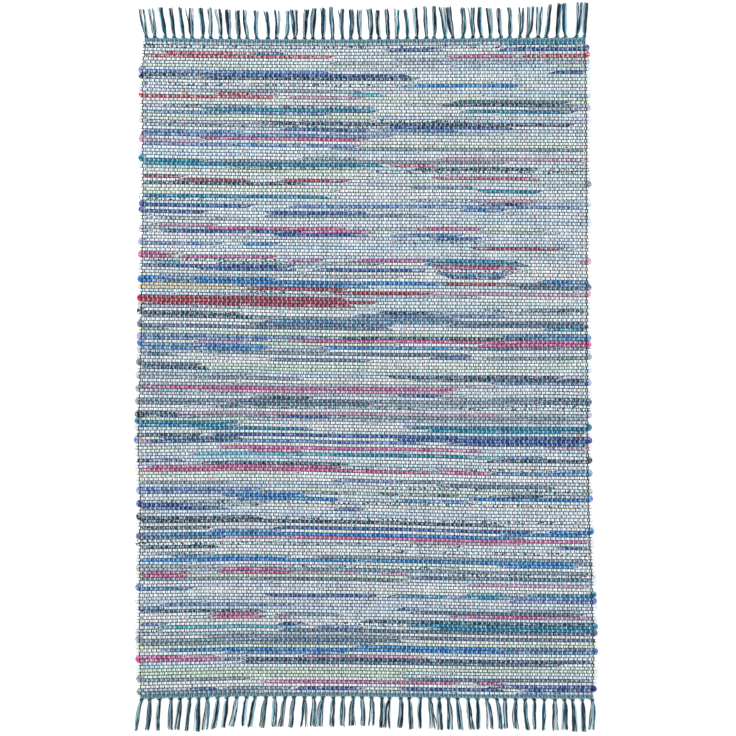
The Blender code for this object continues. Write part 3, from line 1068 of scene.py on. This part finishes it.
def weave_rags(settings):
    """Every strip of rag as a line of points with its girth, colours and print, grown into soft bars."""
    chance = random.Random(settings.seed)
    path = weft_path(chance)
    xs, rows, turning = path[0], path[3], path[4]
    total = len(xs) - 1
    steps = np.arange(len(xs))
    parts = np.arange(total * STEP_PARTS) / STEP_PARTS
    whole = parts.astype(int)
    chosen = cloth_along(np.interp(parts, steps, xs), rows[whole], turning[whole], chance)
    changes = [0, *(np.nonzero(np.diff(chosen))[0] + 1), len(chosen)]
    lump = wander(settings.seed + 1)
    cloths = list(CLOTHS.values())
    points, edges, girths, faces, seconds, facts, places, tips = ([] for _ in range(8))
    side_before = 1
    for begin, finish in zip(changes, changes[1:]):
        face, second, kind, _ = cloths[chosen[begin]]
        seed, fade = chance.uniform(0, 50), chance.uniform(*STRIP_FADES)
        along, full = strip_places(begin / STEP_PARTS, finish / STEP_PARTS, total)
        x, y, half, row, turn = (np.interp(along, steps, values) for values in path)
        side_after = chance.choice((-1, 1))
        side = np.where(np.arange(len(x)) < len(x) / 2, side_before, -side_after)
        side_before = side_after
        lumpy = 1 + HEIGHT_LUMPS * lump(row * 0.9, x / HEIGHT_LUMP_LENGTH + 20)
        width = half * (RAG_FILL + WIDTH_LUMPS * lump(row * 0.8 + 30, x / WIDTH_LUMP_LENGTH))
        width = width * np.maximum(full, TIP_WIDTH)
        up = settings.rag_height / 2 * (TIP_HEIGHT + (1 - TIP_HEIGHT) * full)
        from_tip = np.minimum(along - along[0], along[-1] - along) * WIDEST / ROW_STEPS
        left, right = edge_line(row, LEFT), edge_line(row, RIGHT)
        first, count = len(points), len(x)
        points += list(zip(x, y + half * (1 - full) * side, up))
        edges += [(first + n, first + n + 1) for n in range(count - 1)]
        girths += list(zip(width, width, up * lumpy))
        faces += [linear(face)] * count
        seconds += [linear(second)] * count
        facts += [(kind, seed, fade)] * count
        places += list(zip((x - left) / (right - left) * WARP_ENDS, np.round(row), turn))
        tips += list(zip(np.minimum(from_tip / TIP_REACH, 1.0), up * (1 + lumpy), 0 * x))
    source = new_mesh("rag_lines", points, edges, attributes=(
        ("girth", "FLOAT_VECTOR", girths),
        ("face_colour", "FLOAT_COLOR", faces),
        ("second_colour", "FLOAT_COLOR", seconds),
        ("cloth_facts", "FLOAT_VECTOR", facts),
        ("weave_place", "FLOAT_VECTOR", places),
        ("tip_facts", "FLOAT_VECTOR", tips),
    ))
    section = rag_section()
    material = rag_material(yarn_colours(settings))
    made = grown(source, "rag_weft", strip_tree(), Section=section, Material=material)
    bpy.data.objects.remove(section)
    return made


def yarn_colours(settings):
    """The warp's colours by name."""
    return {name: (*getattr(settings, name), 1.0) for name in ("navy", "mint", "black", "teal")}


def yarn_run(settings):
    """One run of warp yarn over a row of rag, from groove to groove, its middle at the origin."""
    half, crown = settings.yarn_width / 2, settings.rag_height + settings.yarn_proud
    side, foot, narrow = crown - YARN_ROUND, settings.rag_height * YARN_FOOT, half * YARN_TAPER
    shoulder, tip = YARN_SHOULDER * ROW_PITCH, YARN_TIP * ROW_PITCH
    points = [(-narrow, -tip, foot), (narrow, -tip, foot)]
    for y in (-shoulder, shoulder):
        points += [(-half, y, side), (0, y, crown), (half, y, side)]
    points += [(-narrow, tip, foot), (narrow, tip, foot)]
    faces = [
        (0, 3, 2), (0, 1, 3), (1, 4, 3), (2, 3, 6, 5), (3, 4, 7, 6), (5, 6, 8), (6, 9, 8), (6, 7, 9),
    ]
    places = [(y * PLY_MARKS, x / settings.yarn_width, 0.0) for x, y, _ in points]
    return new_mesh("yarn_run", points, [], faces, (("yarn_place", "FLOAT_VECTOR", places),))


def lay_floats(settings):
    """The warp where it passes over the rags: a run of yarn over every other row, and over every row at the
    long edges, where a dark yarn zigzags."""
    colours = yarn_colours(settings)
    run = yarn_run(settings)
    material = yarn_material()
    tree = float_tree()
    shades = np.array([colours[name] for name in WARP_REPEAT])
    bulks = np.array([YARN_BULK[name] for name in WARP_REPEAT])
    made = []
    for title, low, high in WARP_PIECES:
        ends, rows = [], []
        for row in range(low, high):
            edge = 0 if row % 2 else WARP_ENDS - 1
            ends += [*range(row % 2, WARP_ENDS, 2), edge]
            rows += [row] * (WARP_ENDS // 2 + 1)
        ends, rows = np.array(ends), np.array(rows)
        loose = np.random.default_rng(settings.seed + low).normal(0, 1, (3, len(ends)))
        at_edge = (ends == 0) | (ends == WARP_ENDS - 1)
        x = warp_line(ends, rows) + loose[0] * RUN_JITTER + WARP_NOISE(ends / 9, rows / 5) * RUN_WANDER
        x = x + at_edge * np.where(rows % 2, EDGE_ZIGZAG, -EDGE_ZIGZAG)
        below, above = row_line(rows - 0.5, x), row_line(rows + 0.5, x)
        lean = (warp_line(ends, rows + 1) - warp_line(ends, rows - 1)) / (2 * ROW_PITCH)
        lean = lean + loose[1] * RUN_LEAN
        bulk = bulks[ends % len(WARP_REPEAT)] * (1 + RUN_BULK * loose[2])
        colour = shades[ends % len(WARP_REPEAT)]
        colour[at_edge] = colours["black"]
        bulk[at_edge] = EDGE_BULK
        source = new_mesh("float_points", np.stack((x, (above + below) / 2, 0 * x), 1), attributes=(
            ("turn", "FLOAT_VECTOR", np.stack((0 * x, 0 * x, -lean), 1)),
            ("stretch", "FLOAT_VECTOR", np.stack((bulk, (above - below) / ROW_PITCH, 0 * x + 1), 1)),
            ("yarn_colour", "FLOAT_COLOR", colour),
        ))
        values = {"Yarn run": run, "Shade chance": settings.shade_chance, "Seed": low, "Material": material}
        made.append(grown(source, "warp_over_" + title, tree, **values))
    bpy.data.objects.remove(run)
    return made


def new_lines():
    """An empty set of lines of points, each point with a thickness and a colour."""
    return {"points": [], "edges": [], "thickness": [], "colour": []}


def add_line(lines, points, thickness, colour):
    """Adds one line. The thickness is one number or one per point."""
    first = len(lines["points"])
    lines["points"] += [tuple(p) for p in points]
    lines["edges"] += [(first + n, first + n + 1) for n in range(len(points) - 1)]
    lines["thickness"] += list(np.broadcast_to(thickness, len(points)))
    lines["colour"] += [colour] * len(points)


def twisted_pair(lines, path, colour):
    """Two yarns twisted round each other along a path of points."""
    steps = np.concatenate(([0], np.cumsum(np.linalg.norm(np.diff(path, axis=0), axis=1))))
    at = np.linspace(0, steps[-1], int(steps[-1] / PICK_TURN * POINTS_PER_TURN))
    middle = np.stack([np.interp(at, steps, path[:, axis]) for axis in range(3)], 1)
    for ply, shade in enumerate(PICK_SHADES):
        turn = at / PICK_TURN * 2 * math.pi + ply * math.pi
        offset = np.stack((0 * at, np.cos(turn) * PICK_RADIUS, np.sin(turn) * PICK_RADIUS), 1)
        add_line(lines, middle + offset, PICK_THICKNESS, (*(part * shade for part in colour[:3]), 1.0))


def lay_header(lines, side, left, right, colour):
    """The twisted picks across one end of the rug."""
    x = np.linspace(left - HEADER_PAST, right + HEADER_PAST, HEADER_STEPS)
    for out, up in HEADER_PICKS:
        y = woven_end(x, side) + side * (PIECE_GAP + out)
        twisted_pair(lines, np.stack((x, y, 0 * x + up), 1), colour)


def spread_out(number):
    """The place of a yarn of a tassel, from -1 to 1, by its number."""
    return (number + 0.5) / YARNS_PER_TASSEL * 2 - 1


def tassel_yarns(chance):
    """A tassel's yarns: each one's colour, its number in the knot and its number at the tips."""
    rank = {name: chance.random() for name in YARN_BULK}
    names = [WARP_REPEAT[yarn % len(WARP_REPEAT)] for yarn in range(YARNS_PER_TASSEL)]
    sorting = [rank[name] + chance.uniform(0, COLOUR_MIXING) for name in names]
    order = [sum(other < own for other in sorting) for own in sorting]
    tips = list(range(YARNS_PER_TASSEL))
    chance.shuffle(tips)
    return zip(names, order, tips)


def wrap_knot(lines, chance, side, middle, base, lean, colours, thickness):
    """The turns of yarn round the neck of a tassel."""
    for turn in range(KNOT_TURNS):
        wrap, tilt = [], chance.uniform(-0.5, 0.5)
        for step in range(KNOT_STEPS + 1):
            angle = (step / KNOT_STEPS * KNOT_ROUND + chance.uniform(-0.01, 0.01)) * 2 * math.pi
            out = KNOT_OUT + KNOT_SPACE * turn + tilt * KNOT_TILT * math.cos(angle)
            x = middle + KNOT_HALF_WIDTH * math.cos(angle) + lean * KNOT_LEAN
            wrap.append((x, base + side * out, KNOT_MIDDLE + KNOT_HALF_HEIGHT * math.sin(angle)))
        add_line(lines, wrap, thickness, colours[chance.choice(KNOT_YARNS)])


def knot_fringe(settings, side):
    """The header of twisted picks at one end of the rug, and its knotted tassels."""
    chance = random.Random(settings.seed + 10 + side)
    colours = yarn_colours(settings)
    lines = new_lines()
    row, lean_column = (RAG_ROWS - 1, 1) if side == FAR else (0, 3)
    left, right = float(edge_line(row, LEFT)), float(edge_line(row, RIGHT))
    lay_header(lines, side, left, right, (*settings.header, 1.0))
    pitch = (right - left) / TASSELS
    half_yarn = settings.yarn_width / 2
    shares = np.arange(TASSELS) / (TASSELS - 1)
    leans = [
        float(lean) + chance.uniform(-TASSEL_LEAN, TASSEL_LEAN)
        for lean in column(TASSEL_TABLE, shares, lean_column)
    ]
    reaches = column(TASSEL_TABLE, shares, lean_column + 1)
    for tassel, (lean, reach) in enumerate(zip(leans, reaches)):
        middle = left + tassel * (right - left) / (TASSELS - 1)
        middle += chance.uniform(-TASSEL_SHIFT, TASSEL_SHIFT)
        base = float(woven_end(middle, side)) + side * (PIECE_GAP + HEADER_DEPTH)
        bend, cut = chance.uniform(-TASSEL_BEND, TASSEL_BEND), chance.uniform(*TASSEL_CUTS)
        spread, tone = chance.uniform(*TASSEL_SPREADS), chance.uniform(*TASSEL_TONES)
        parting = chance.choice(PARTINGS)
        for yarn, (name, order, tip_order) in enumerate(tassel_yarns(chance)):
            root_x = left + (tassel + (yarn + 0.5) / YARNS_PER_TASSEL) * pitch
            place = spread_out(order)
            layer = LAYER_LOWEST + LAYER_SPACE * (order % 3)
            tip_place = (1 - TIP_SORTING) * place + TIP_SORTING * spread_out(tip_order)
            thick = half_yarn * YARN_BULK[name] * LOOSE_BULK
            length = float(reach) + cut + chance.uniform(*YARN_LENGTHS)
            phase, wiggle = chance.uniform(0, 6.3), chance.uniform(*YARN_WIGGLES)
            strays = chance.random() < STRAY_YARNS
            stray = chance.uniform(-YARN_STRAYING, YARN_STRAYING) if strays else 0.0
            points = [
                (root_x, base - side * 0.0045, 0.0046),
                (root_x * 0.85 + middle * 0.15, base + side * 0.0005, 0.0030),
                (middle + place * 0.0030, base + side * 0.0048, 0.0026 + 0.0006 * math.sin(phase)),
                (middle + place * 0.0026, base + side * 0.0095, 0.0026 + 0.0006 * math.cos(phase)),
            ]
            for share in LOOSE_SHARES:
                sway = bend * math.sin(math.pi * share) + lean * share ** 1.1
                curl = wiggle * math.sin(phase + 9 * share)
                fan = place * (1 - share) + tip_place * share
                fan *= FAN_START + spread * (FAN_SOON * min(1.0, share * FAN_HASTE) + FAN_EVENLY * share)
                fan += math.copysign(parting, place) * share + stray * share ** 2.5
                z = max(layer * (1 - 0.3 * share) + curl * 0.4, thick)
                points.append((middle + sway + fan + curl, base + side * length * share, z))
            tint = chance.uniform(*YARN_TINTS)
            shade = tuple(c * tint * tone for c in colours[name][:3]) + (1.0,)
            add_line(lines, points, thick * np.array([1] * 9 + [LOOSE_END]), shade)
        wrap_knot(lines, chance, side, middle, base, lean, colours, half_yarn * KNOT_BULK)
    source = new_mesh("fringe_lines", lines["points"], lines["edges"], attributes=(
        ("thickness", "FLOAT", lines["thickness"]),
        ("yarn_colour", "FLOAT_COLOR", lines["colour"]),
    ))
    title = "far" if side == FAR else "near"
    tree = shared_group("loose yarns", yarn_tree)
    return grown(source, "fringe_yarns_" + title, tree, Sides=4, Material=yarn_material())


def length_setting(name, about, metres):
    """A length that a user may change."""
    return bpy.props.FloatProperty(name=name, description=about, default=metres, unit="LENGTH")


def colour_setting(name, about, colour):
    """A colour that a user may change, given as it looks on the screen."""
    start = linear(colour)[:3]
    return bpy.props.FloatVectorProperty(name=name, description=about, default=start, subtype="COLOR")


class RagRugSettings(bpy.types.PropertyGroup):
    """Sizes and colours of the rug that a user may change."""

    rag_height: length_setting("Rag height", "How thick a row of rag lies", 0.0061)
    yarn_width: length_setting("Yarn width", "Width of one warp yarn", 0.0015)
    yarn_proud: length_setting("Yarn height", "How far a warp yarn stands over the rags", 0.0008)
    shade_chance: bpy.props.FloatProperty(
        name="Shade variation", description="How much the yarns differ in shade",
        default=0.24, subtype="FACTOR",
    )
    seed: bpy.props.IntProperty(name="Seed", description="Picks another run of rags", default=5)
    navy: colour_setting("Navy yarn", "Colour of the navy warp yarn", (0.06, 0.16, 0.26))
    mint: colour_setting("Mint yarn", "Colour of the mint warp yarn", (0.69, 0.82, 0.85))
    black: colour_setting("Black yarn", "Colour of the black warp yarn", (0.04, 0.07, 0.11))
    teal: colour_setting("Teal yarn", "Colour of the teal warp yarn", (0.08, 0.42, 0.53))
    header: colour_setting("Header yarn", "Colour of the twisted picks at each end", (0.48, 0.67, 0.73))


class RAGRUG_OT_rags(bpy.types.Operator):
    """Weaves the rows of rag, with their loops at the long edges"""

    bl_idname = "ragrug.rags"
    bl_label = "Weave the Rags"

    def execute(self, context):
        rags = weave_rags(context.scene.rag_rug)
        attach(rags, "root")
        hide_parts("cloth")
        return {"FINISHED"}


class RAGRUG_OT_warp(bpy.types.Operator):
    """Lays the warp yarns over the rags"""

    bl_idname = "ragrug.warp"
    bl_label = "Lay the Warp"

    def execute(self, context):
        for piece in lay_floats(context.scene.rag_rug):
            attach(piece, "root")
        return {"FINISHED"}


class RAGRUG_OT_fringe(bpy.types.Operator):
    """Knots the fringe at both ends"""

    bl_idname = "ragrug.fringe"
    bl_label = "Knot the Fringe"

    def execute(self, context):
        for side, node in ((FAR, "fringe_far"), (NEAR, "fringe_near")):
            piece = knot_fringe(context.scene.rag_rug, side)
            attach(piece, "root")
            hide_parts(node)
        return {"FINISHED"}


def floor_material():
    """A plain pale floor with a very faint grain."""
    material, tree, shader = new_material("pale floor", 0.95, 0.0)
    grain = noise(tree, object_place(tree), 300.0)
    colour = mix(tree, grain, (0.94, 0.94, 0.94, 1.0), (0.96, 0.96, 0.96, 1.0))
    tree.links.new(colour, shader.inputs["Base Color"])
    return material


class RAGRUG_OT_stage(bpy.types.Operator):
    """Makes the floor, the lights and the camera"""

    bl_idname = "ragrug.stage"
    bl_label = "Set the Stage"

    def execute(self, context):
        scene = context.scene
        mesh = bpy.data.meshes.new("floor")
        corners = [(x * FLOOR_REACH, y * FLOOR_REACH, 0) for x, y in ((-1, -1), (1, -1), (1, 1), (-1, 1))]
        mesh.from_pydata(corners, [], [(0, 1, 2, 3)])
        mesh.materials.append(floor_material())
        floor = in_scene("floor", mesh)
        floor.location.z = -FLOOR_DROP
        world = bpy.data.worlds.new("soft room")
        world.use_nodes = True
        background = world.node_tree.nodes["Background"]
        background.inputs["Color"].default_value = (1.0, 1.0, 1.0, 1.0)
        background.inputs["Strength"].default_value = 1.0
        scene.world = world
        for name, (place, size, power) in LIGHTS.items():
            light = bpy.data.lights.new(name, "AREA")
            light.shape, light.size, light.energy = "SQUARE", size, power
            made = in_scene(name, light)
            made.location = place
            made.rotation_euler = (-made.location).to_track_quat("-Z", "Y").to_euler()
        lens = bpy.data.cameras.new("camera")
        lens.lens, lens.sensor_width = LENS, SENSOR
        scene.camera = in_scene("camera", lens)
        scene.camera.location = (
            (PICTURE_SIDE / 2 - READ_MIDDLE[0]) * READ_STEP,
            (READ_MIDDLE[1] - PICTURE_SIDE / 2) * READ_STEP,
            PICTURE_SIDE * READ_STEP * LENS / SENSOR + PICTURE_HEIGHT,
        )
        scene.view_settings.view_transform = "Standard"
        return {"FINISHED"}


class RAGRUG_PT_panel(bpy.types.Panel):
    """Lists the rug's sizes, colours and operators"""

    bl_label = "Rag Rug"
    bl_idname = "RAGRUG_PT_panel"
    bl_space_type = "VIEW_3D"
    bl_region_type = "UI"
    bl_category = "Rag Rug"

    def draw(self, context):
        for name in RagRugSettings.__annotations__:
            self.layout.prop(context.scene.rag_rug, name)
        for made in OPERATORS:
            self.layout.operator(made.bl_idname)


OPERATORS = (RAGRUG_OT_rags, RAGRUG_OT_warp, RAGRUG_OT_fringe, RAGRUG_OT_stage)
CLASSES = (RagRugSettings, *OPERATORS, RAGRUG_PT_panel)


def register():
    for made in CLASSES:
        bpy.utils.register_class(made)
    bpy.types.Scene.rag_rug = bpy.props.PointerProperty(type=RagRugSettings)


def unregister():
    del bpy.types.Scene.rag_rug
    for made in reversed(CLASSES):
        bpy.utils.unregister_class(made)


def main():
    register()
    bpy.ops.ragrug.rags()
    bpy.ops.ragrug.warp()
    bpy.ops.ragrug.fringe()
    bpy.ops.ragrug.stage()


if __name__ == "__main__":
    main()
